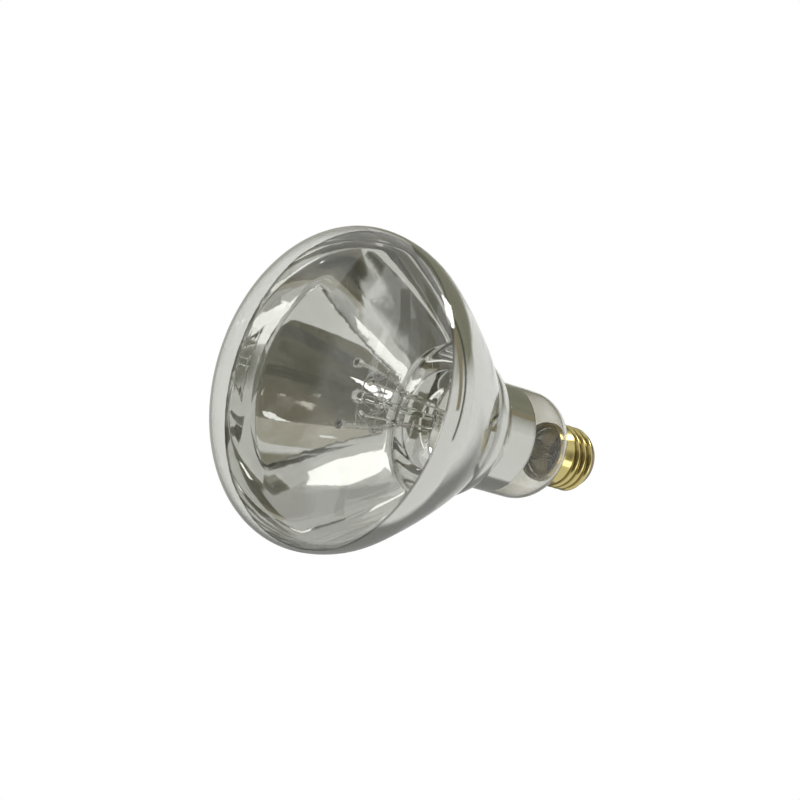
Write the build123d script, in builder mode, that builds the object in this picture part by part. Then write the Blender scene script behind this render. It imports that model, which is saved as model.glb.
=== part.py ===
# Clear-front reflector lamp on a medium screw base, standing on its face: axis on Z, base up.
import os
from math import cos, hypot, pi, radians, sin, sqrt, tan

from build123d import *

os.makedirs("parts", exist_ok=True)

# Driving dimensions, in millimetres and degrees

# Blown glass, from the face upwards
bulb_diameter = 127.0
face_radius = 154.8
corner_radius = 16.8
bowl_radius = 34.3
bowl_angle = 27.7
flank_radius = 270.0
flank_angle = 10.6
waist_radius = 9.0
waist_angle = 22.0
throat_depth = 13.6
neck_diameter = 44.2
crease_fillet = 0.8
neck_length = 27.1
shoulder_height = 14.6
seal_diameter = 22.6
seal_length = 3.0
glass_wall = 1.0

# Metal film on the inside of the glass
film_thickness = 0.15
film_neck_length = 15.0

# Screw shell, rolled from thin sheet with a knuckle thread
shell_wall = 0.3
collar_rise = 2.65
collar_flare = 0.8
thread_runin = 1.2
thread_diameter = 26.3
thread_depth = 0.85
thread_pitch = 3.629
thread_turns = 3.0
thread_land = 0.2
thread_flats = 6
thread_azimuth = 90.0
groove_inset = 0.6
shell_end_height = 2.2
shell_end_turn_in = 1.3

# Cement, insulator and contacts in the base
cement_thickness = 0.45
cement_lip = 0.45
insulator_height = 3.2
insulator_seat = 2.4
contact_diameter = 9.6
contact_thickness = 0.4
eyelet_diameter = 3.0
eyelet_wall = 0.4
eyelet_length = 1.6
contact_solder_diameter = 5.0
contact_solder_height = 1.0
side_solder_diameter = 3.0
side_solder_height = 0.8

# Stem inside the neck
stem_diameter = 9.0
stem_wall = 1.0
stem_length = 20.0
flare_height = 7.0
press_width = 13.0
press_thickness = 4.0
press_shoulder = 3.0
press_taper = 25.0
press_height = 12.0
exhaust_diameter = 3.2
exhaust_wall = 0.6
exhaust_length = 5.0

# Filament mount inside the bowl
arbor_diameter = 2.6
button_diameter = 4.6
button_height = 4.4
button_chamfer = 1.2
filament_depth = 24.8
filament_ring_diameter = 23.0
filament_coil_diameter = 1.5
filament_gap_angle = 62.0
filament_gap_azimuth = 90.0
lead_diameter = 0.9
lead_bend_radius = 2.0
lead_rise = 3.0
clamp_wall = 0.35
clamp_length = 2.6
support_diameter = 0.45
support_count = 4
support_depth = 1.0
support_eye_width = 0.6

# Clearance left between pieces that seat on each other
seat_gap = 0.05

# Heights and radii that follow from the driving dimensions
bulb_radius = bulb_diameter / 2
neck_radius = neck_diameter / 2
seal_radius = seal_diameter / 2
corner_centre = bulb_radius - corner_radius
rim_height = face_radius - sqrt((face_radius - corner_radius) ** 2 - corner_centre**2)
face_reach = face_radius / (face_radius - corner_radius)
face_edge = (corner_centre * face_reach, face_radius + (rim_height - face_radius) * face_reach)
flank_start = (
    bulb_radius - bowl_radius * (1 - cos(radians(bowl_angle))),
    rim_height + bowl_radius * sin(radians(bowl_angle)),
)
flank_lean = radians(bowl_angle + flank_angle)
flank_end = (
    flank_start[0] + flank_radius * (cos(flank_lean) - cos(radians(bowl_angle))),
    flank_start[1] + flank_radius * (sin(flank_lean) - sin(radians(bowl_angle))),
)
throat_lean = flank_lean - radians(waist_angle)
throat_start = (
    flank_end[0] - waist_radius * (cos(throat_lean) - cos(flank_lean)),
    flank_end[1] - waist_radius * (sin(throat_lean) - sin(flank_lean)),
)
crease = (neck_radius, throat_start[1] + throat_depth)
shoulder_start = crease[1] + neck_length
seal_start = shoulder_start + shoulder_height
seal_end = seal_start + seal_length
film_end = crease[1] + film_neck_length

cement_radius = seal_radius + seat_gap + cement_thickness
collar_radius = cement_radius + 2 * seat_gap + shell_wall
collar_start = seal_start + cement_lip
collar_end = seal_end + collar_rise
collar_end_radius = collar_radius + collar_flare
root_radius = thread_diameter / 2 - thread_depth
thread_start = collar_end + thread_runin
thread_end = thread_start + thread_turns * thread_pitch
shell_end = thread_end + shell_end_height
shell_end_radius = root_radius - shell_end_turn_in
insulator_top = shell_end + insulator_height
contact_start = insulator_top + seat_gap
contact_top = contact_start + contact_thickness

flare_radius = seal_radius - glass_wall - seat_gap
flare_start = seal_end - flare_height
press_top = flare_start - stem_length
press_bottom = press_top - press_height
stem_bore_radius = stem_diameter / 2 - stem_wall
exhaust_tip = seal_end + exhaust_length
lead_offset = (stem_bore_radius + exhaust_diameter / 2) / 2
lead_hole_diameter = lead_diameter + 2 * seat_gap

filament_height = rim_height + filament_depth
ring_radius = filament_ring_diameter / 2
coil_radius = filament_coil_diameter / 2
clamp_radius = coil_radius + seat_gap + clamp_wall
ring_span = (360 - filament_gap_angle) / (support_count + 1)
ring_azimuths = [
    filament_gap_azimuth + filament_gap_angle / 2 + ring_span * knee for knee in range(support_count + 2)
]
ring_knees = [
    Vector(ring_radius * cos(radians(azimuth)), ring_radius * sin(radians(azimuth)), filament_height)
    for azimuth in ring_azimuths
]
side_exit_height = seal_end + seat_gap + lead_diameter / 2
collar_slope = (collar_end_radius - collar_radius) / (collar_end - collar_start)
side_exit_radius = collar_radius + collar_slope * (side_exit_height - collar_start)
side_exit = sqrt(side_exit_radius**2 - lead_offset**2)
end_wall = shell_wall * hypot(1, shell_end_turn_in / shell_end_height)


def thread_helix(inset):
    """Helix on the thread's root, shortened at both ends by a rise of this inset."""
    rise = thread_turns * thread_pitch - 2 * inset
    start = (0, 0, thread_start + inset)
    helix = Helix(thread_pitch, rise, root_radius, center=start, mode=Mode.PRIVATE)
    return helix.rotate(Axis.Z, thread_azimuth + 360 * inset / thread_pitch)


def thread_section(helix):
    """Plane across the start of the helix: local x is the radius, local y runs along the lamp's axis."""
    start = helix @ 0
    return Plane(start, x_dir=(start.X, start.Y, 0), z_dir=helix % 0)


def bulb_outline(line):
    """Outside of the glass, from the middle of the face to the seal end."""
    TangentArc((0, 0), face_edge, tangent=(1, 0))
    TangentArc(face_edge, (bulb_radius, rim_height), tangent=(face_radius - face_edge[1], face_edge[0]))
    bowl = JernArc((bulb_radius, rim_height), (0, 1), bowl_radius, bowl_angle)
    flank = JernArc(flank_start, bowl % 1, flank_radius, flank_angle)
    waist = JernArc(flank_end, flank % 1, waist_radius, -waist_angle)
    TangentArc(throat_start, crease, tangent=waist % 1)
    Line(crease, (neck_radius, shoulder_start))
    TangentArc((neck_radius, shoulder_start), (seal_radius, seal_start), tangent=(0, 1))
    Line((seal_radius, seal_start), (seal_radius, seal_end))
    fillet(line.vertices().sort_by_distance((*crease, 0))[0], crease_fillet)


# Envelope: face, bowl, throat ring, neck and shoulder blown as one wall
with BuildPart() as glass_envelope:
    with BuildSketch(Plane.XZ):
        with BuildLine() as glass_line:
            bulb_outline(glass_line)
            offset(amount=glass_wall, side=Side.LEFT, closed=True)
        make_face()
    revolve(axis=Axis.Z)

# Reflector film: lines the glass from the widest circle to the middle of the neck
with BuildPart() as reflector_film:
    with BuildSketch(Plane.XZ):
        with BuildLine() as film_line:
            bulb_outline(film_line)
            offset(amount=glass_wall + seat_gap + film_thickness, side=Side.LEFT, closed=True)
        make_face()
        with BuildLine() as seat_line:
            bulb_outline(seat_line)
            offset(amount=glass_wall + seat_gap, side=Side.LEFT, closed=True)
        make_face(mode=Mode.SUBTRACT)
        with Locations((bulb_radius / 2, (rim_height + film_end) / 2)):
            Rectangle(bulb_radius, film_end - rim_height, mode=Mode.INTERSECT)
    revolve(axis=Axis.Z)

# Stem: flare, tube, flattened press and exhaust tube fused into one piece of glass
with BuildPart() as glass_stem:
    with BuildSketch(Plane.XZ):
        with BuildLine():
            Polyline(
                (stem_diameter / 2, press_top),
                (stem_diameter / 2, flare_start),
                (flare_radius, seal_end - stem_wall),
            )
            offset(amount=stem_wall, side=Side.LEFT, closed=True)
        make_face()
    revolve(axis=Axis.Z)
    with BuildSketch(Plane.XY.offset(press_top)):
        Circle(stem_diameter / 2)
    extrude(amount=-press_shoulder, taper=press_taper)
    with BuildSketch(Plane.XY.offset(press_top)):
        SlotOverall(press_width, press_thickness)
    extrude(amount=-press_height)
    with BuildSketch(Plane.XY.offset(press_top)):
        Circle(exhaust_diameter / 2)
    extrude(amount=exhaust_tip - press_top)
    chamfer(glass_stem.edges().filter_by(GeomType.CIRCLE).sort_by(Axis.Z)[-1], exhaust_wall)
    with BuildSketch(Plane.XY.offset(press_top)):
        Circle(exhaust_diameter / 2 - exhaust_wall)
    extrude(amount=exhaust_tip - exhaust_wall - press_top, mode=Mode.SUBTRACT)
    with BuildSketch(Plane.XY.offset(press_top)):
        with GridLocations(2 * lead_offset, 0, 2, 1):
            Circle(lead_hole_diameter / 2)
    extrude(amount=-press_height, mode=Mode.SUBTRACT)


def thread_wave(half_width, foot, crest):
    """Rounded thread section: a cosine wave from foot to crest, closed along its foot."""
    wave = []
    for step in range(thread_flats + 1):
        along = half_width * (2 * step / thread_flats - 1)
        wave.append((foot + (crest - foot) * (1 + cos(pi * along / half_width)) / 2, along))
    sunk = foot - shell_wall / 2
    return [(sunk, -half_width), *wave, (sunk, half_width)]


# Screw shell: flared collar, helical knuckle thread and turned-in end, rolled from one sheet
wave_half = (thread_pitch - thread_land) / 2
with BuildPart() as screw_shell:
    with BuildSketch(Plane.XZ):
        with BuildLine():
            Polyline(
                (collar_radius, collar_start),
                (collar_end_radius, collar_end),
                (root_radius, thread_start),
                (root_radius, thread_end),
                (shell_end_radius, shell_end),
            )
            offset(amount=shell_wall, side=Side.LEFT, closed=True)
        make_face()
    revolve(axis=Axis.Z)
    ridge_helix = thread_helix(0)
    with BuildSketch(thread_section(ridge_helix)):
        Polygon(*thread_wave(wave_half, 0, thread_depth), align=None)
    sweep(path=ridge_helix, is_frenet=True)
    groove_helix = thread_helix(groove_inset)
    with BuildSketch(thread_section(groove_helix)):
        Polygon(*thread_wave(wave_half, -shell_wall, thread_depth - shell_wall), align=None)
    sweep(path=groove_helix, is_frenet=True, mode=Mode.SUBTRACT)
    with Locations(Plane((-lead_offset, side_exit, side_exit_height), z_dir=(0, 1, 0))):
        Cylinder(lead_hole_diameter / 2, 4 * shell_wall, mode=Mode.SUBTRACT)

# Basing cement: fills the collar around the seal end, with a lip under the collar's rim
with BuildPart() as base_cement:
    with BuildSketch(Plane.XZ):
        with BuildLine():
            Polyline(
                (seal_radius + seat_gap, seal_start + seat_gap),
                (collar_radius, seal_start + seat_gap),
                (collar_radius, collar_start - seat_gap),
                (cement_radius, collar_start - seat_gap),
                (cement_radius, seal_end - seat_gap),
                (seal_radius + seat_gap, seal_end - seat_gap),
                close=True,
            )
        make_face()
    revolve(axis=Axis.Z)

# Insulator: black glass moulded into the end of the shell, open in the middle for the lead
with BuildPart() as base_insulator:
    with BuildSketch(Plane.XZ):
        with BuildLine():
            Polyline(
                (eyelet_diameter / 2 + seat_gap, thread_end - insulator_seat),
                (root_radius - shell_wall - seat_gap, thread_end - insulator_seat),
                (root_radius - shell_wall - seat_gap, thread_end - shell_wall),
                (shell_end_radius - end_wall - seat_gap, shell_end),
                (contact_diameter / 2, insulator_top),
                (eyelet_diameter / 2 + seat_gap, insulator_top),
                close=True,
            )
        make_face()
    revolve(axis=Axis.Z)

# Centre contact: a disc with an eyelet that hangs in the insulator
with BuildPart() as centre_contact:
    with BuildSketch(Plane.XZ):
        with BuildLine():
            Polyline(
                (eyelet_diameter / 2 - eyelet_wall, contact_top),
                (contact_diameter / 2, contact_top),
                (contact_diameter / 2, contact_start),
                (eyelet_diameter / 2, contact_start),
                (eyelet_diameter / 2, contact_start - eyelet_length),
                (eyelet_diameter / 2 - eyelet_wall, contact_start - eyelet_length),
                close=True,
            )
        make_face()
    revolve(axis=Axis.Z)
    chamfer(centre_contact.edges().group_by(Axis.Z)[-1].sort_by(SortBy.RADIUS)[-1], contact_thickness / 2)

# Solder on the centre contact: a low dome over the eyelet
with BuildPart() as contact_solder:
    with BuildSketch(Plane.XZ):
        with BuildLine():
            solder_base = contact_top + seat_gap
            Line((0, solder_base), (contact_solder_diameter / 2, solder_base))
            TangentArc(
                (0, solder_base + contact_solder_height),
                (contact_solder_diameter / 2, solder_base),
                tangent=(1, 0),
            )
            Line((0, solder_base + contact_solder_height), (0, solder_base))
        make_face()
    revolve(axis=Axis.Z)

# Side solder: a drop on the collar over the end of the second lead
with BuildPart() as side_solder:
    with BuildSketch(Plane((-lead_offset, side_exit, side_exit_height), x_dir=(1, 0, 0), z_dir=(0, 1, 0))):
        Circle(side_solder_diameter / 2)
    extrude(amount=side_solder_height, both=True)
    chamfer(side_solder.edges().group_by(Axis.Y)[-1], side_solder_height / 2)
    with BuildSketch(Plane.XZ):
        with BuildLine():
            Polyline(
                (0, collar_start),
                (collar_radius + seat_gap, collar_start),
                (collar_end_radius + seat_gap, collar_end),
                (root_radius + seat_gap, thread_start),
                (0, thread_start),
                close=True,
            )
        make_face()
    revolve(axis=Axis.Z, mode=Mode.SUBTRACT)

# Arbor: glass rod on the press, ending in a button that holds the support wires
button_radius = button_diameter / 2
with BuildPart() as glass_arbor:
    with BuildSketch(Plane.XY.offset(filament_height - button_height / 2)):
        Circle(button_radius)
    extrude(amount=button_height)
    chamfer(glass_arbor.edges().filter_by(GeomType.CIRCLE), button_chamfer)
    with BuildSketch(Plane.XY.offset(filament_height)):
        Circle(arbor_diameter / 2)
    extrude(amount=press_bottom - seat_gap - filament_height)
    for knee in ring_knees[1:-1]:
        outward = Vector(knee.X, knee.Y, 0).normalized()
        with Locations(Plane(outward * button_radius + Vector(0, 0, filament_height), z_dir=outward)):
            Cylinder(support_diameter / 2 + seat_gap, 2 * (support_depth + seat_gap), mode=Mode.SUBTRACT)

# Filament: coiled wire drawn at the coil's outer size, in straight spans from support to support
with BuildPart() as filament:
    with BuildLine() as coil_path:
        Polyline(*ring_knees)
    with BuildSketch(Plane(coil_path.line @ 0, z_dir=coil_path.line % 0)):
        Circle(coil_radius)
    sweep(path=coil_path.line, transition=Transition.RIGHT)

# Leads: wires from the base through the press, each clamped round one end of the filament
contact_run = [
    (lead_offset, 0, exhaust_tip + lead_bend_radius),
    (0, 0, thread_end),
    (0, 0, contact_top - seat_gap),
]
side_run = [
    (-lead_offset, 0, side_exit_height),
    (-lead_offset, side_exit - shell_wall / 2, side_exit_height),
]
lead_wires = []
for side, coil_end, next_knee, base_run in (
    (1, ring_knees[-1], ring_knees[-2], contact_run),
    (-1, ring_knees[0], ring_knees[1], side_run),
):
    along = (next_knee - coil_end).normalized()
    clamp_top = coil_end + along * (clamp_length / 2) + Vector(0, 0, clamp_radius - clamp_wall / 2)
    with BuildPart() as lead_wire:
        with BuildLine() as lead_path:
            FilletPolyline(
                clamp_top,
                (side * lead_offset, 0, press_bottom - lead_rise),
                *base_run,
                radius=lead_bend_radius,
            )
        with BuildSketch(Plane(lead_path.line @ 0, z_dir=lead_path.line % 0)):
            Circle(lead_diameter / 2)
        sweep(path=lead_path.line)
        with BuildSketch(Plane(coil_end, z_dir=along)):
            Circle(clamp_radius)
            Circle(coil_radius + seat_gap, mode=Mode.SUBTRACT)
        extrude(amount=clamp_length)
    lead_wires.append(lead_wire)

# Supports: each wire stands in the button and ends in a flattened eye round a knee of the filament
half_turn = radians(ring_span / 2)
eye_bore = coil_radius / cos(half_turn) + support_eye_width / 2 * tan(half_turn) + seat_gap
eye_radius = eye_bore + support_diameter
support_length = ring_radius - eye_bore - support_diameter / 2 - button_radius + support_depth
support_wires = []
for knee in ring_knees[1:-1]:
    outward = Vector(knee.X, knee.Y, 0).normalized()
    with BuildPart() as support_wire:
        foot = outward * (button_radius - support_depth) + Vector(0, 0, filament_height)
        with BuildSketch(Plane(foot, z_dir=outward)):
            Circle(support_diameter / 2)
        extrude(amount=support_length)
        with BuildSketch(Plane(knee, x_dir=outward, z_dir=outward.cross(Vector(0, 0, 1)))):
            Circle(eye_radius)
            Circle(eye_bore, mode=Mode.SUBTRACT)
        extrude(amount=support_eye_width / 2, both=True)
    support_wires.append(support_wire)

pieces = {
    "glass_envelope": glass_envelope,
    "reflector_film": reflector_film,
    "glass_stem": glass_stem,
    "glass_arbor": glass_arbor,
    "filament": filament,
    "screw_shell": screw_shell,
    "base_cement": base_cement,
    "base_insulator": base_insulator,
    "centre_contact": centre_contact,
    "contact_solder": contact_solder,
    "side_solder": side_solder,
}
for number, lead_wire in enumerate(lead_wires, start=1):
    pieces[f"lead_wire_{number}"] = lead_wire
for number, support_wire in enumerate(support_wires, start=1):
    pieces[f"support_wire_{number}"] = support_wire
for name, piece in pieces.items():
    piece.part.label = name
    export_step(piece.part, f"parts/{name}.step")
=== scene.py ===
# Clear-front reflector lamp, face down: its glass, mirror film, filament mount, brass base and studio.
from math import asin, atan2, ceil, cos, pi, radians, sin, sqrt

import bpy
from mathutils import Matrix, Vector

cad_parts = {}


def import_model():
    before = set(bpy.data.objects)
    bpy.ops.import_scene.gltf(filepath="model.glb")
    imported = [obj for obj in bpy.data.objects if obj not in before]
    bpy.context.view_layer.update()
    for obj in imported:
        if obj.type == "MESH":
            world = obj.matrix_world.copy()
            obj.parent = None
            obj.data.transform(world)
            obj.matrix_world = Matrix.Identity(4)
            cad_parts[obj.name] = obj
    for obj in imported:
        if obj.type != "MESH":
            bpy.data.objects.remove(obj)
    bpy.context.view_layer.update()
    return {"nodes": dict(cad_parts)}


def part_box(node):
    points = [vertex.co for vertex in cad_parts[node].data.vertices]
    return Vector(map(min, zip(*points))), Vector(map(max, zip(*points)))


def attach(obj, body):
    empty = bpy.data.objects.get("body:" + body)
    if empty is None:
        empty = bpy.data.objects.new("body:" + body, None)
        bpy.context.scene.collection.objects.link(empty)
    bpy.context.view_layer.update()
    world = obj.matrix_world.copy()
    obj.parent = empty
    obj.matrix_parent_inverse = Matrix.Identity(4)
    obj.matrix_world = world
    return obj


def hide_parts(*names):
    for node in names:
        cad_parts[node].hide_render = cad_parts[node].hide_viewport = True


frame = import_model()

MM = 0.001

# Blown glass, from the face upwards
bulb_radius = 63.5 * MM
face_radius = 154.8 * MM
corner_radius = 16.8 * MM
bowl_radius = 34.3 * MM
bowl_angle = radians(27.7)
flank_radius = 270 * MM
flank_angle = radians(10.6)
waist_radius = 9 * MM
waist_angle = radians(22)
throat_depth = 13.6 * MM
neck_radius = 22.1 * MM
crease_fillet = 0.8 * MM
neck_length = 27.1 * MM
shoulder_height = 14.6 * MM
seal_radius = 11.3 * MM
seal_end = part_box("glass_envelope")[1].z
glass_wall = 1.0 * MM

# Mirror film on the inside of the glass
film_gap = 0.05 * MM
film_thickness = 0.15 * MM
film_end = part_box("reflector_film")[1].z
film_breath_length = 9 * MM

# Screw shell
shell_wall = 0.3 * MM
collar_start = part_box("screw_shell")[0].z
collar_radius = 12.2 * MM
collar_end = seal_end + 2.65 * MM
collar_end_radius = 13.0 * MM
root_radius = 12.3 * MM
thread_start = collar_end + 1.2 * MM
thread_depth = 0.85 * MM
thread_pitch = 3.629 * MM
thread_turns = 3
thread_azimuth = pi / 2
thread_fade = 0.16
shell_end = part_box("screw_shell")[1].z
shell_end_radius = 11.0 * MM
shell_outline_step = 0.16 * MM

# Filament mount
filament_depth = 24.8 * MM
filament_ring_radius = 11.5 * MM
filament_coil_radius = 0.75 * MM
filament_wire_radius = 0.13 * MM
filament_coil_pitch = 0.62 * MM
filament_gap_angle = radians(62)
filament_gap_azimuth = pi / 2
filament_points_a_turn = 12
support_count = 4

# Fineness of the spun meshes
outline_step = 1.2 * MM
spin_steps = 160

# Picture: where the photograph's camera stands
view_rise = 0.735
view_roll = pi / 2 + 0.294
view_distance = 1170.9 * MM
view_target = Vector((0, 0, 70 * MM))
view_shift = Vector((7.13 * MM, -5.43 * MM, 0))
lens_mm = 135

# Studio
room_radius = 4
floor_size = 4
floor_fade_start = 0.15
floor_fade_end = 1.5


# Half section of the blown glass

rim_height = face_radius - sqrt((face_radius - corner_radius) ** 2 - (bulb_radius - corner_radius) ** 2)
corner_centre = Vector((bulb_radius - corner_radius, rim_height))
filament_height = rim_height + filament_depth


def leaning(angle):
    """Unit step at this angle in the half section."""
    return Vector((cos(angle), sin(angle)))


bowl_centre = Vector((bulb_radius - bowl_radius, rim_height))
flank_centre = bowl_centre + leaning(bowl_angle) * (bowl_radius - flank_radius)
flank_lean = bowl_angle + flank_angle
waist_centre = flank_centre + leaning(flank_lean) * (flank_radius + waist_radius)
throat_lean = flank_lean - waist_angle
throat_start = waist_centre - leaning(throat_lean) * waist_radius
crease = Vector((neck_radius, throat_start.y + throat_depth))
throat_chord = crease - throat_start
throat_radius = -throat_chord.length_squared / (2 * throat_chord.dot(leaning(throat_lean)))
throat_centre = throat_start - leaning(throat_lean) * throat_radius
shoulder_start = crease.y + neck_length


def bearing(centre, point):
    """Angle of a point as seen from a centre, in the half section."""
    return atan2(point.y - centre.y, point.x - centre.x)


def arc(centre, radius, start, end):
    """Points along an arc of the half section, about one step apart."""
    count = max(6, ceil(abs(end - start) * radius / outline_step))
    turns = [start + (end - start) * k / count for k in range(count + 1)]
    return [Vector((centre.x + radius * cos(turn), centre.y + radius * sin(turn))) for turn in turns]


def straight(start, end):
    """Points along a straight stretch of the half section, about one step apart."""
    count = max(1, ceil((end - start).length / outline_step))
    return [start.lerp(end, k / count) for k in range(count + 1)]


def face_outline(inset=0):
    """Clear front: the domed face and the rounded corner up to the widest circle."""
    dome = Vector((0, face_radius))
    edge = bearing(dome, corner_centre)
    return [
        *arc(dome, face_radius - inset, -pi / 2, edge),
        *arc(corner_centre, corner_radius - inset, edge, 0),
    ]


def bowl_outline(inset=0):
    """Silvered form: bowl, flank, waist, rounded throat and crease, up to the foot of the neck."""
    crease_x = neck_radius + crease_fillet
    crease_reach = throat_radius + crease_fillet
    crease_y = throat_centre.y + sqrt(crease_reach**2 - (crease_x - throat_centre.x) ** 2)
    crease_centre = Vector((crease_x, crease_y))
    return [
        *arc(bowl_centre, bowl_radius - inset, 0, bowl_angle),
        *arc(flank_centre, flank_radius - inset, bowl_angle, flank_lean),
        *arc(waist_centre, waist_radius + inset, flank_lean - pi, throat_lean - pi),
        *arc(throat_centre, throat_radius - inset, throat_lean, bearing(throat_centre, crease_centre)),
        *arc(crease_centre, crease_fillet + inset, bearing(crease_centre, throat_centre), -pi),
    ]


def shoulder_outline():
    """Rounded shoulder between the neck and the seal end."""
    drop = neck_radius - seal_radius
    radius = (drop**2 + shoulder_height**2) / (2 * drop)
    return arc(Vector((neck_radius - radius, shoulder_start)), radius, 0, asin(shoulder_height / radius))


# Modelling steps


def added(name, primitive, **values):
    """A new primitive with its name, alone in the selection."""
    bpy.ops.object.select_all(action="DESELECT")
    primitive(**values)
    piece = bpy.context.object
    piece.name = piece.data.name = name
    return piece


def drawn_line(name, points):
    """A new mesh: one vertex extruded along the points of a half section."""
    piece = added(name, bpy.ops.mesh.primitive_plane_add, size=MM)
    bpy.ops.object.mode_set(mode="EDIT")
    bpy.ops.mesh.merge(type="CENTER")
    here = Vector((0, 0))
    for point in points:
        step = point - here
        if here.length == 0:
            bpy.ops.transform.translate(value=(step.x, 0, step.y))
        elif step.length > film_gap / 10:
            bpy.ops.mesh.extrude_region_move(TRANSFORM_OT_translate={"value": (step.x, 0, step.y)})
        here = point
    return piece


def spun(name, points, steps=spin_steps):
    """A half section turned once round the lamp's axis, closed at its poles, facing outwards."""
    piece = drawn_line(name, points)
    bpy.ops.mesh.select_all(action="SELECT")
    bpy.ops.mesh.spin(steps=steps, angle=2 * pi, center=(0, 0, 0), axis=(0, 0, 1))
    bpy.ops.mesh.select_all(action="SELECT")
    bpy.ops.mesh.remove_doubles(threshold=film_gap / 50)
    bpy.ops.mesh.normals_make_consistent(inside=False)
    bpy.ops.object.mode_set(mode="OBJECT")
    return piece


def walled(piece, thickness):
    """Gives a spun skin its wall, grown inwards."""
    wall = piece.modifiers.new("wall", "SOLIDIFY")
    wall.thickness = thickness
    wall.offset = -1
    wall.use_even_offset = True
    bpy.context.view_layer.objects.active = piece
    bpy.ops.object.modifier_apply(modifier=wall.name)


def smoothed(piece, angle=radians(40)):
    """Smooth shading that keeps the edges sharper than the angle."""
    bpy.ops.object.select_all(action="DESELECT")
    piece.select_set(True)
    bpy.context.view_layer.objects.active = piece
    bpy.ops.object.shade_smooth_by_angle(angle=angle)


def placed(piece, node, finish):
    """Hands a finished piece over: it stands for its node, rides with the lamp and takes its finish."""
    piece.data.materials.clear()
    piece.data.materials.append(finish)
    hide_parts(node)
    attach(piece, "root")


def refinished(node, finish):
    """A piece whose CAD shape is right keeps it and gets the finish."""
    for slot in frame["nodes"][node].material_slots:
        slot.material = finish


# Effects shared by the finishes


def effect(name, inputs, outputs):
    """An empty shader node group with its sockets; returns the group and its two end nodes."""
    group = bpy.data.node_groups.new(name, "ShaderNodeTree")
    for socket, (kind, value) in inputs.items():
        made = group.interface.new_socket(socket, in_out="INPUT", socket_type=kind)
        made.default_value = value
    for socket, kind in outputs.items():
        group.interface.new_socket(socket, in_out="OUTPUT", socket_type=kind)
    return group, group.nodes.new("NodeGroupInput"), group.nodes.new("NodeGroupOutput")


def noise_in(group, entry, detail):
    """Noise on Object coordinates at the group's own Scale."""
    place = group.nodes.new("ShaderNodeTexCoord")
    noise = group.nodes.new("ShaderNodeTexNoise")
    noise.inputs["Detail"].default_value = detail
    group.links.new(place.outputs["Object"], noise.inputs["Vector"])
    group.links.new(entry.outputs["Scale"], noise.inputs["Scale"])
    return noise


def make_unevenness():
    """Value that drifts between Low and High over the surface."""
    group, entry, leave = effect(
        "unevenness",
        {"Scale": ("NodeSocketFloat", 100), "Low": ("NodeSocketFloat", 0), "High": ("NodeSocketFloat", 1)},
        {"Value": "NodeSocketFloat"},
    )
    noise = noise_in(group, entry, detail=4)
    spread = group.nodes.new("ShaderNodeMapRange")
    spread.inputs["From Min"].default_value = 0.3
    spread.inputs["From Max"].default_value = 0.7
    group.links.new(noise.outputs["Fac"], spread.inputs["Value"])
    group.links.new(entry.outputs["Low"], spread.inputs["To Min"])
    group.links.new(entry.outputs["High"], spread.inputs["To Max"])
    group.links.new(spread.outputs["Result"], leave.inputs["Value"])
    return group


def make_mottle():
    """Colour that drifts between two tints over the surface."""
    group, entry, leave = effect(
        "mottle",
        {
            "Scale": ("NodeSocketFloat", 100),
            "First": ("NodeSocketColor", (1, 1, 1, 1)),
            "Second": ("NodeSocketColor", (0, 0, 0, 1)),
        },
        {"Color": "NodeSocketColor"},
    )
    noise = noise_in(group, entry, detail=3)
    mix = group.nodes.new("ShaderNodeMix")
    mix.data_type = "RGBA"
    group.links.new(noise.outputs["Fac"], mix.inputs["Factor"])
    group.links.new(entry.outputs["First"], mix.inputs["A"])
    group.links.new(entry.outputs["Second"], mix.inputs["B"])
    group.links.new(mix.outputs["Result"], leave.inputs["Color"])
    return group


unevenness = make_unevenness()
mottle = make_mottle()


# Finishes


def finish(name, **values):
    """A Principled finish with its plain values on the shader's own sockets."""
    made = bpy.data.materials.new(name)
    made.use_nodes = True
    shader = made.node_tree.nodes["Principled BSDF"]
    for socket, value in values.items():
        shader.inputs[socket.replace("_", " ")].default_value = value
    return made, made.node_tree, shader


def use(tree, group, **values):
    """Places a shared effect in a finish with its own values."""
    node = tree.nodes.new("ShaderNodeGroup")
    node.node_tree = group
    for socket, value in values.items():
        node.inputs[socket].default_value = value
    return node


def math(tree, operation, first, second):
    """A Math node between sockets or plain numbers; returns its result."""
    node = tree.nodes.new("ShaderNodeMath")
    node.operation = operation
    for socket, value in zip(node.inputs, (first, second)):
        if isinstance(value, (int, float)):
            socket.default_value = value
        else:
            tree.links.new(value, socket)
    return node.outputs[0]


def object_place(tree):
    """The place on the piece: its coordinate node and the three axes."""
    place = tree.nodes.new("ShaderNodeTexCoord")
    axes = tree.nodes.new("ShaderNodeSeparateXYZ")
    tree.links.new(place.outputs["Object"], axes.inputs["Vector"])
    return place, axes.outputs


def ramp(tree, value, start, end, top=1, curve="SMOOTHSTEP"):
    """Mask that rises from 0 to the top while the value goes from start to end."""
    node = tree.nodes.new("ShaderNodeMapRange")
    node.interpolation_type = curve
    node.inputs["From Min"].default_value = start
    node.inputs["From Max"].default_value = end
    node.inputs["To Max"].default_value = top
    tree.links.new(value, node.inputs["Value"])
    return node.outputs["Result"]


def stained(tree, colour, mask, stain):
    """The colour with a stain over it where the mask is 1."""
    mix = tree.nodes.new("ShaderNodeMix")
    mix.data_type = "RGBA"
    mix.inputs["B"].default_value = (*stain, 1)
    tree.links.new(mask, mix.inputs["Factor"])
    tree.links.new(colour, mix.inputs["A"])
    return mix.outputs["Result"]


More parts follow.
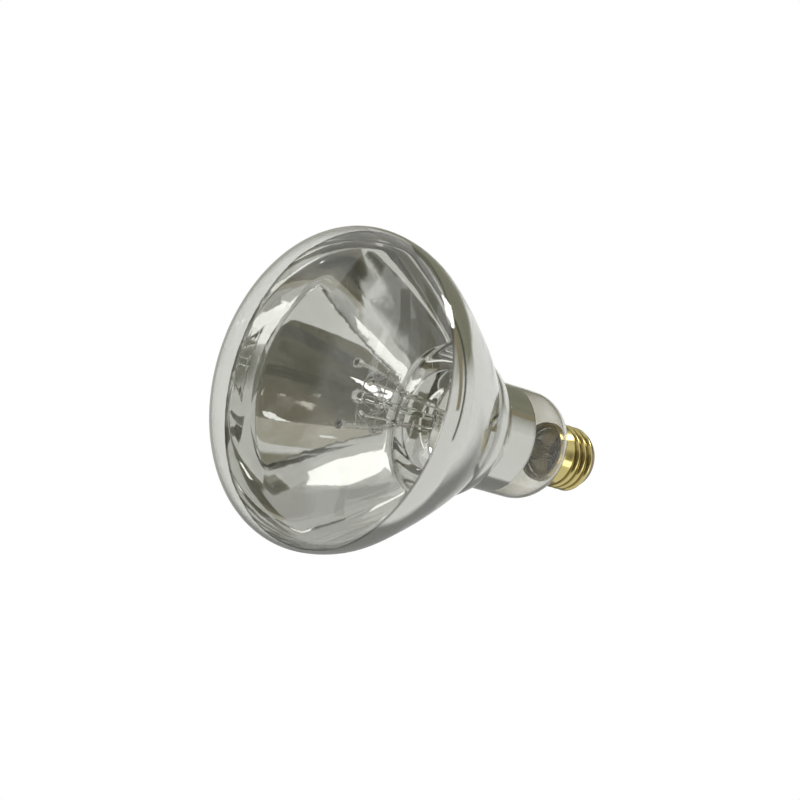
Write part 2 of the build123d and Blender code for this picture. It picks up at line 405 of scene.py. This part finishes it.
def shown_where(tree, mask, surface):
    """Puts the surface out where the mask is 1, and nothing at all where it is 0."""
    clear = tree.nodes.new("ShaderNodeBsdfTransparent")
    mix = tree.nodes.new("ShaderNodeMixShader")
    tree.links.new(mask, mix.inputs["Fac"])
    tree.links.new(clear.outputs[0], mix.inputs[1])
    tree.links.new(surface, mix.inputs[2])
    tree.links.new(mix.outputs[0], tree.nodes["Material Output"].inputs["Surface"])


def rippled(tree, shader, scale, depth):
    """Soft waves in the surface, of this depth in metres."""
    waves = use(tree, unevenness, Scale=scale)
    bump = tree.nodes.new("ShaderNodeBump")
    bump.inputs["Distance"].default_value = depth
    tree.links.new(waves.outputs["Value"], bump.inputs["Height"])
    tree.links.new(bump.outputs["Normal"], shader.inputs["Normal"])


def uneven_gloss(tree, shader, scale, low, high):
    """Roughness that drifts between two values."""
    gloss = use(tree, unevenness, Scale=scale, Low=low, High=high)
    tree.links.new(gloss.outputs["Value"], shader.inputs["Roughness"])


def mottled(tree, shader, scale, first, second):
    """Base colour that drifts between two tints."""
    tint = use(tree, mottle, Scale=scale, First=(*first, 1), Second=(*second, 1))
    tree.links.new(tint.outputs["Color"], shader.inputs["Base Color"])
    return tint.outputs["Color"]


def plain_glass(name):
    """Clear glass with a faint tint and soft waves; returns its tint too."""
    made, tree, shader = finish(name, Roughness=0, IOR=1.5, Transmission_Weight=1)
    tint = mottled(tree, shader, 12, (0.845, 0.852, 0.825), (0.875, 0.88, 0.86))
    rippled(tree, shader, 45, 0.02 * MM)
    return made, tree, shader, tint


def clear_glass():
    """Soda glass, with a breath of metal on the neck that is densest where the film ends."""
    made, tree, shader, tint = plain_glass("clear_glass")
    height = object_place(tree)[1]["Z"]
    begun = ramp(tree, height, film_end - 0.8 * MM, film_end + 0.4 * MM, curve="LINEAR")
    thinned = ramp(tree, height, film_end, film_end + film_breath_length, curve="LINEAR")
    dense = stained(tree, tint, begun, (0.60, 0.595, 0.535))
    tree.links.new(stained(tree, dense, thinned, (0.79, 0.78, 0.735)), shader.inputs["Base Color"])
    return made


def mirror_film():
    """Bright vacuum-laid metal, with painted shade that darkens it along its lower edge, in the waist and in
    the crease.
    """
    made, tree, shader = finish("mirror_film", Metallic=1)
    tint = mottled(tree, shader, 20, (0.87, 0.87, 0.86), (0.91, 0.91, 0.905))
    height = object_place(tree)[1]["Z"]
    # Painted shade: the film's colour is darkened along its lower edge, in the waist and in the crease.
    painted_shade_bands = ramp(tree, height, rim_height + 1.6 * MM, rim_height + 0.3 * MM)
    for middle, reach, depth in ((throat_start.y - 1.2 * MM, 2.6 * MM, 0.6), (crease.y, 1.5 * MM, 0.9)):
        off = math(tree, "ABSOLUTE", math(tree, "SUBTRACT", height, middle), 0)
        painted_shade_bands = math(tree, "MAXIMUM", painted_shade_bands, ramp(tree, off, reach, 0, depth))
    tree.links.new(stained(tree, tint, painted_shade_bands, (0.30, 0.295, 0.265)), shader.inputs["Base Color"])
    uneven_gloss(tree, shader, 60, 0.015, 0.04)
    rippled(tree, shader, 38, 0.03 * MM)
    return made


def metal(name, first, second, low, high, scale=900, depth=0.01 * MM):
    """Bare metal with a slightly uneven tint, gloss and surface."""
    made, tree, shader = finish(name, Metallic=1)
    mottled(tree, shader, scale / 3, first, second)
    uneven_gloss(tree, shader, scale, low, high)
    rippled(tree, shader, scale, depth)
    return made


def brass():
    """Bright yellow brass, tarnished brown in the thread's roots; the inside is a dull brown, not metal,
    and glows a little: painted light that stands in for the daylight coming to it through the glass."""
    made, tree, shader = finish("brass", Metallic=1, Emission_Color=(0.40, 0.33, 0.12, 1))
    tint = mottled(tree, shader, 160, (0.60, 0.51, 0.20), (0.69, 0.60, 0.27))
    uneven_gloss(tree, shader, 350, 0.11, 0.20)
    rippled(tree, shader, 260, 0.006 * MM)
    place, axes = object_place(tree)
    squares = [math(tree, "POWER", axes[axis], 2) for axis in "XY"]
    across = math(tree, "POWER", math(tree, "ADD", *squares), 0.5)
    root = ramp(tree, across, root_radius + 0.65 * thread_depth, root_radius)
    threaded = math(tree, "GREATER_THAN", axes["Z"], collar_end)
    tarnished = stained(tree, tint, math(tree, "MULTIPLY", root, threaded), (0.22, 0.145, 0.035))
    sideways = tree.nodes.new("ShaderNodeVectorMath")
    sideways.operation = "MULTIPLY"
    sideways.inputs[1].default_value = (1, 1, 0)
    outwards = tree.nodes.new("ShaderNodeVectorMath")
    outwards.operation = "DOT_PRODUCT"
    tree.links.new(place.outputs["Object"], sideways.inputs[0])
    tree.links.new(sideways.outputs["Vector"], outwards.inputs[0])
    tree.links.new(place.outputs["Normal"], outwards.inputs[1])
    inside = math(tree, "LESS_THAN", outwards.outputs["Value"], 0)
    tree.links.new(stained(tree, tarnished, inside, (0.38, 0.29, 0.11)), shader.inputs["Base Color"])
    tree.links.new(math(tree, "SUBTRACT", 1, inside), shader.inputs["Metallic"])
    # Painted light: the inside glows a little in place of the daylight that reaches it through the glass.
    tree.links.new(math(tree, "MULTIPLY", inside, 0.16), shader.inputs["Emission Strength"])
    return made


def cement():
    made, tree, shader = finish("basing_cement", Roughness=0.85)
    mottled(tree, shader, 700, (0.66, 0.50, 0.40), (0.80, 0.68, 0.60))
    rippled(tree, shader, 1500, 0.05 * MM)
    return made


def black_glass():
    made, tree, shader = finish("black_glass", Coat_Weight=0.4)
    mottled(tree, shader, 250, (0.012, 0.011, 0.016), (0.03, 0.028, 0.036))
    uneven_gloss(tree, shader, 300, 0.12, 0.28)
    rippled(tree, shader, 180, 0.03 * MM)
    return made


glass_finish = clear_glass()
stem_finish = plain_glass("stem_glass")[0]
film_finish = mirror_film()
brass_finish = brass()
contact_finish = metal("contact_brass", (0.60, 0.51, 0.20), (0.69, 0.60, 0.27), 0.14, 0.26)
tungsten_finish = metal("tungsten", (0.46, 0.45, 0.43), (0.60, 0.59, 0.57), 0.20, 0.34)
nickel_finish = metal("nickel_wire", (0.66, 0.64, 0.60), (0.78, 0.76, 0.72), 0.10, 0.22)
molybdenum_finish = metal("molybdenum_wire", (0.58, 0.57, 0.55), (0.70, 0.69, 0.67), 0.12, 0.26)
solder_finish = metal("solder", (0.52, 0.52, 0.51), (0.68, 0.68, 0.67), 0.28, 0.48, 500, 0.06 * MM)
cement_finish = cement()
insulator_finish = black_glass()


# Glass and mirror


def glass_envelope():
    outline = [*face_outline(), *bowl_outline()]
    outline += straight(outline[-1], Vector((neck_radius, shoulder_start)))
    outline += [*shoulder_outline(), Vector((seal_radius, seal_end))]
    piece = spun("blown_envelope", outline)
    walled(piece, glass_wall)
    smoothed(piece)
    placed(piece, "glass_envelope", glass_finish)


def reflector_film():
    outline = bowl_outline(glass_wall + film_gap)
    outline += straight(outline[-1], Vector((outline[-1].x, film_end)))
    piece = spun("silvered_film", outline)
    walled(piece, film_thickness)
    smoothed(piece)
    placed(piece, "reflector_film", film_finish)


# Screw shell with its rolled thread


def eased(value):
    """Smooth step from 0 to 1."""
    part = min(max(value, 0), 1)
    return part * part * (3 - 2 * part)


def thread_rise(azimuth, height):
    """How far the rolled thread lifts the sheet at this place."""
    turned = ((azimuth - thread_azimuth) % (2 * pi)) / (2 * pi)
    climbed = (height - thread_start) / thread_pitch
    turn = turned + round(climbed - turned)
    lead_in = eased((turn + thread_fade) / (2 * thread_fade))
    run_out = eased((thread_turns + thread_fade - turn) / (2 * thread_fade))
    return thread_depth * lead_in * run_out * (1 + cos(2 * pi * (climbed - turn))) / 2


def screw_shell():
    thread_end = thread_start + thread_turns * thread_pitch
    corners = [
        Vector((collar_radius, collar_start)),
        Vector((collar_end_radius, collar_end)),
        Vector((root_radius, thread_start)),
        Vector((root_radius, thread_end)),
        Vector((shell_end_radius, shell_end)),
    ]
    outline = []
    for start, end in zip(corners, corners[1:]):
        count = ceil((end - start).length / shell_outline_step)
        outline += [start.lerp(end, k / count) for k in range(count + 1)]
    piece = spun("rolled_screw_shell", outline)
    for vertex in piece.data.vertices:
        across = Vector((vertex.co.x, vertex.co.y))
        lift = thread_rise(atan2(across.y, across.x), vertex.co.z)
        if across.length < root_radius + thread_depth / 2:
            across *= 1 + lift / across.length
        vertex.co.x, vertex.co.y = across
    walled(piece, shell_wall)
    smoothed(piece)
    placed(piece, "screw_shell", brass_finish)


# Filament mount


def filament_knees():
    """Corners of the filament's ring, where the leads and supports hold it."""
    span = (2 * pi - filament_gap_angle) / (support_count + 1)
    start = filament_gap_azimuth + filament_gap_angle / 2
    turns = [start + span * k for k in range(support_count + 2)]
    reach = filament_ring_radius
    return [Vector((reach * cos(turn), reach * sin(turn), filament_height)) for turn in turns]


def coil_points():
    """Centre line of the coiled wire, span by span."""
    reach = filament_coil_radius - filament_wire_radius
    up = Vector((0, 0, 1))
    points = []
    knees = filament_knees()
    for start, end in zip(knees, knees[1:]):
        across = (end - start).normalized().cross(up)
        turns = round((end - start).length / filament_coil_pitch)
        count = turns * filament_points_a_turn
        for k in range(count):
            angle = 2 * pi * k / filament_points_a_turn
            along = start.lerp(end, k / count)
            points.append(along + (up * cos(angle) + across * sin(angle)) * reach)
    return points


def wire(name, points, radius, roundness):
    """A round wire along the points, as a mesh."""
    bpy.ops.object.select_all(action="DESELECT")
    line = bpy.data.curves.new(name, "CURVE")
    line.dimensions = "3D"
    line.bevel_depth = radius
    line.bevel_resolution = roundness
    line.use_fill_caps = True
    spline = line.splines.new("POLY")
    spline.points.add(len(points) - 1)
    for node, point in zip(spline.points, points):
        node.co = (*point, 1)
    piece = bpy.data.objects.new(name, line)
    bpy.context.scene.collection.objects.link(piece)
    piece.select_set(True)
    bpy.context.view_layer.objects.active = piece
    bpy.ops.object.convert(target="MESH")
    smoothed(piece)
    return piece


def filament():
    piece = wire("coiled_filament", coil_points(), filament_wire_radius, roundness=1)
    placed(piece, "filament", tungsten_finish)


glass_envelope()
reflector_film()
screw_shell()
filament()

refinished("glass_stem", stem_finish)
refinished("glass_arbor", stem_finish)
refinished("base_cement", cement_finish)
refinished("base_insulator", insulator_finish)
refinished("centre_contact", contact_finish)
refinished("contact_solder", solder_finish)
refinished("side_solder", solder_finish)
for number in (1, 2):
    refinished(f"lead_wire_{number}", nickel_finish)
for number in range(1, support_count + 1):
    refinished(f"support_wire_{number}", molybdenum_finish)


# Studio, laid out along the picture: rightwards, upwards and back towards the camera

picture_turn = Matrix.Rotation(pi / 2 + view_rise, 3, "X") @ Matrix.Rotation(view_roll, 3, "Z")


def camera():
    data = bpy.data.cameras.new("camera")
    data.lens = lens_mm
    data.clip_start = 0.01
    seen = bpy.data.objects.new("camera", data)
    stand = view_target - picture_turn @ (view_shift - Vector((0, 0, view_distance)))
    seen.matrix_world = Matrix.LocRotScale(stand, picture_turn, None)
    bpy.context.scene.collection.objects.link(seen)
    bpy.context.scene.camera = seen


def world():
    """White for what is seen straight or through glass."""
    made = bpy.data.worlds.new("white_room")
    made.use_nodes = True
    background = made.node_tree.nodes["Background"]
    background.inputs["Color"].default_value = (1, 1, 1, 1)
    background.inputs["Strength"].default_value = 1
    bpy.context.scene.world = made


def surroundings(name, colour, soft=0, all_round=False):
    """Glow that only mirrored rays meet, and scattered ones too if all round; the background stays white."""
    made = bpy.data.materials.new(name)
    made.use_nodes = True
    made.cycles.emission_sampling = "NONE"
    tree = made.node_tree
    tree.nodes.remove(tree.nodes["Principled BSDF"])
    path = tree.nodes.new("ShaderNodeLightPath")
    other = math(tree, "ADD", path.outputs["Diffuse Depth"], path.outputs["Is Shadow Ray"])
    scattered = math(tree, "GREATER_THAN", other, 0.5)
    mirrored = math(tree, "GREATER_THAN", path.outputs["Glossy Depth"], 0.5)
    if all_round:
        shown = math(tree, "MAXIMUM", mirrored, scattered)
    else:
        shown = math(tree, "MULTIPLY", mirrored, math(tree, "SUBTRACT", 1, scattered))
    if soft:
        axes = object_place(tree)[1]
        outward = [math(tree, "ABSOLUTE", axes[axis], 0) for axis in "XY"]
        edge = ramp(tree, math(tree, "MAXIMUM", *outward), 0.5, 0.5 - soft / 2)
        shown = math(tree, "MULTIPLY", shown, edge)
    glow = tree.nodes.new("ShaderNodeEmission")
    glow.inputs["Color"].default_value = (*colour, 1)
    shown_where(tree, shown, glow.outputs[0])
    return made


def room():
    """Pale walls far out, all round the lamp."""
    ball = bpy.ops.mesh.primitive_ico_sphere_add
    walls = added("room", ball, subdivisions=4, radius=room_radius, location=view_target)
    walls.data.materials.append(surroundings("room_walls", (0.80, 0.80, 0.78), all_round=True))


def card(name, side, left, low, right, high, colour, soft=0.04, reach=2.4, tilt=0):
    """A sheet on one side of the room, its edges given as slopes seen from the lamp."""
    sheet = added(name, bpy.ops.mesh.primitive_plane_add, size=1)
    turn, axis = {
        "behind": (0, "Y"),
        "right": (pi / 2, "Y"),
        "left": (-pi / 2, "Y"),
        "away": (pi, "Y"),
        "above": (-pi / 2, "X"),
    }[side]
    facing = picture_turn @ Matrix.Rotation(turn, 3, axis)
    middle = Vector(((left + right) / 2, (low + high) / 2, 1)) * reach
    spread = Vector(((right - left) * reach, (high - low) * reach, 1))
    stand = view_target + facing @ middle
    sheet.matrix_world = Matrix.LocRotScale(stand, facing @ Matrix.Rotation(tilt, 3, "Z"), spread)
    sheet.data.materials.append(surroundings(name, colour, soft))


def cards():
    """What the lamp mirrors of the room round it, from the camera's side round to the far side."""
    card("card_table", "behind", -0.6, -2.6, 1.6, -0.83, (0.80, 0.80, 0.78), reach=1.9, tilt=0.2)
    card(
        "card_shelf", "behind", 0.1, -0.2, 0.62, -0.05, (0.09, 0.085, 0.065),
        soft=0.35, reach=2.1, tilt=-0.1,
    )
    card("card_glint", "behind", 0.53, 0.42, 0.585, 0.56, (1.3, 1.3, 1.27), soft=0.2, reach=2.0, tilt=0.25)
    card("card_small_glint", "behind", 0.43, 0.76, 0.48, 0.83, (1.0, 1.0, 0.97), soft=0.3, reach=2.0)
    card("card_dark_corner", "behind", -0.1, -0.6, 0.4, 0.46, (0.115, 0.11, 0.085), soft=0.5, reach=2.15)
    card("card_dark_room", "behind", -0.10, -1.7, 1.3, 0.2, (0.155, 0.147, 0.113), soft=0.3, reach=2.2)
    card("card_brown_wall", "behind", -0.12, -1.6, 1.2, 0.56, (0.188, 0.171, 0.126), reach=2.3)
    card("card_upper_wall", "behind", -0.12, -1.6, 1.3, 1.4, (0.48, 0.455, 0.38), soft=0.15, reach=2.4)
    card("card_window", "behind", -0.58, 0.30, -0.465, 0.75, (1.9, 1.9, 1.88), soft=0.02, reach=0.085)
    card("card_shade", "behind", -1.06, -1.10, -0.72, -0.20, (0.15, 0.15, 0.128), soft=0.2, reach=0.09)
    card("card_top_shade", "behind", -0.73, -0.58, -0.24, -0.20, (0.05, 0.05, 0.04), soft=0.25, reach=0.09)
    card("card_throat_shade", "behind", -0.45, -0.62, -0.09, -0.4, (0.11, 0.11, 0.095), soft=0.3, reach=0.089)
    card("card_sheen", "behind", -0.46, 0.47, -0.14, 1.25, (0.58, 0.575, 0.565), soft=0.25, reach=0.09)
    card("card_bright_square", "behind", 0.01, -0.30, 0.10, -0.08, (1.9, 1.9, 1.87), soft=0.02, reach=0.4)
    card("card_doorway", "behind", -1.15, 0.05, -0.80, 0.50, (0.22, 0.215, 0.17), soft=0.2)
    card("card_ceiling", "above", -0.12, -1.5, 0.36, 1.5, (0.62, 0.62, 0.60), soft=0.1, reach=0.4)
    card("card_skylight", "above", -0.75, -0.88, -0.20, -0.30, (1.7, 1.7, 1.68), soft=0.1, reach=0.6)
    card("card_beam", "above", -1.6, -0.35, -0.62, 0.15, (0.22, 0.215, 0.17), soft=0.2)
    card("card_left_wall", "left", -1.3, -0.35, 0.20, 0.75, (0.24, 0.24, 0.20), soft=0.2)
    card("card_left_window", "left", 0.15, 0.68, 1.25, 1.9, (1.6, 1.6, 1.58), soft=0.1, reach=1.5)
    card("card_right_front", "right", -0.80, -0.55, -0.20, 0.25, (0.20, 0.19, 0.14), soft=0.3, reach=1.5)
    card("card_upper_front", "above", 0.10, -0.75, 0.85, 0.0, (0.26, 0.25, 0.19), soft=0.3, reach=1.5)
    card("card_right_post", "right", 0.42, -0.45, 0.52, 0.6, (0.10, 0.10, 0.08), soft=0.1, reach=1.8)
    card("card_right_panel", "right", 0.20, -0.2, 0.34, 0.55, (0.30, 0.26, 0.18), soft=0.1, reach=1.9)
    card("card_right_wall", "right", -0.1, -0.05, 1.3, 1.1, (0.26, 0.255, 0.19), soft=0.6, reach=2.0)
    card("card_far_beam", "away", -1.7, 0.18, 0.15, 1.3, (0.24, 0.235, 0.18), soft=0.2, reach=1.5)
    card("card_far_low", "away", -0.72, -1.9, 1.2, -0.06, (0.25, 0.25, 0.24), soft=0.30, reach=1.4)
    card("card_far_left", "away", -0.05, -1.4, 1.6, 1.3, (0.40, 0.40, 0.36), soft=0.2, reach=1.6)


def floor():
    """Pale floor that fades into the white round it, clear from below and to mirrored rays."""
    ground = added("floor", bpy.ops.mesh.primitive_plane_add, size=floor_size)
    made, tree, shader = finish("floor", Roughness=0.9, Base_Color=(0.86, 0.86, 0.85, 1))
    path = tree.nodes.new("ShaderNodeLightPath")
    side = tree.nodes.new("ShaderNodeNewGeometry")
    straight_on = math(tree, "LESS_THAN", path.outputs["Glossy Depth"], 0.5)
    above = math(tree, "SUBTRACT", 1, side.outputs["Backfacing"])
    looked_at = math(tree, "MAXIMUM", path.outputs["Is Camera Ray"], path.outputs["Is Transmission Ray"])
    out = tree.nodes.new("ShaderNodeVectorMath")
    out.operation = "LENGTH"
    tree.links.new(object_place(tree)[0].outputs["Object"], out.inputs[0])
    near = ramp(tree, out.outputs["Value"], floor_fade_end, floor_fade_start)
    seen = math(tree, "MULTIPLY", math(tree, "MULTIPLY", above, straight_on), looked_at)
    shown_where(tree, math(tree, "MULTIPLY", seen, near), shader.outputs[0])
    ground.data.materials.append(made)


def studio_light(name, place, size, watts):
    """A soft square light, placed along the picture and turned to the lamp."""
    data = bpy.data.lights.new(name, "AREA")
    data.size = size
    data.energy = watts
    stand = picture_turn @ Vector(place)
    light = bpy.data.objects.new(name, data)
    light.matrix_world = Matrix.LocRotScale(view_target + stand, stand.to_track_quat("Z", "Y"), None)
    bpy.context.scene.collection.objects.link(light)


room()
cards()
floor()
studio_light("light_upper", (1.3, 0.98, -0.45), 0.4, 5)
studio_light("light_lower", (1.45, -0.7, 0.5), 0.8, 3)
camera()
world()

# Enough bounces for the walls of glass before the mirror and within it
rays = bpy.context.scene.cycles
rays.max_bounces = rays.transmission_bounces = 24
rays.glossy_bounces = 10
bpy.context.scene.view_settings.view_transform = "Standard"
